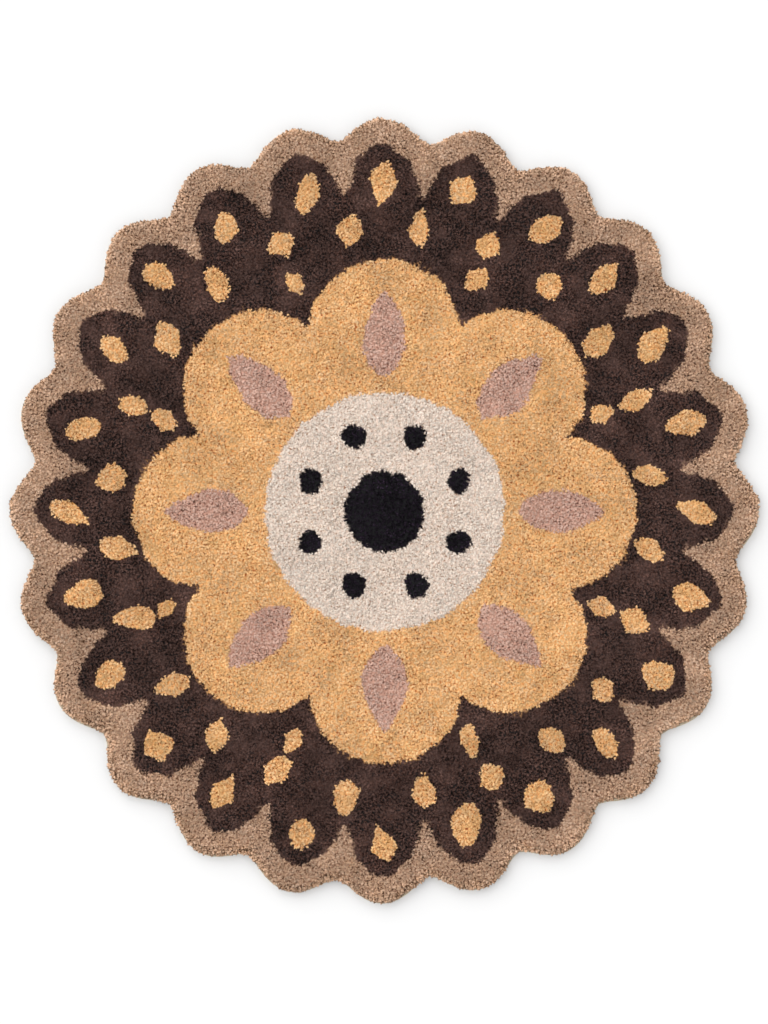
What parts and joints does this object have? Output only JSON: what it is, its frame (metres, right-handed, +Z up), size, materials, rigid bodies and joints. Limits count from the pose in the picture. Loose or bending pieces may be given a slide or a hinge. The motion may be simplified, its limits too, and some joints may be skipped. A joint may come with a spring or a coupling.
{
  "type": "kids rug",
  "caption": "Flat round rug with a scalloped edge: a cut-pile cotton face with a soft rounded rim on a thin cotton backing cloth.",
  "frame": {"origin": "centre of the underside of the backing cloth, where the rug rests on the floor", "axes": "+Z up out of the pile, +Y towards the top of the pattern along the rug's slightly longer measure, +X to the right of the pattern"},
  "size_m": [1.05, 1.1, 0.018],
  "materials": {
    "pile_ochre": "matt cut cotton pile, ochre: the flower and the flecks in the dark ring",
    "pile_brown": "matt cut cotton pile, dark brown: the ring round the flower",
    "pile_taupe": "matt cut cotton pile, taupe: the border",
    "pile_mauve": "matt cut cotton pile, dusty mauve: the leaf shapes",
    "pile_cream": "matt cut cotton pile, cream: the middle of the flower",
    "pile_black": "matt cut cotton pile, black: the round in the cream middle and its dots",
    "backing_cotton": "matt plain-woven cotton cloth, undyed"
  },
  "bodies": {
    "root": {"tufted_pile": "pile_ochre", "backing_cloth": "backing_cotton"}
  },
  "joints": []
}
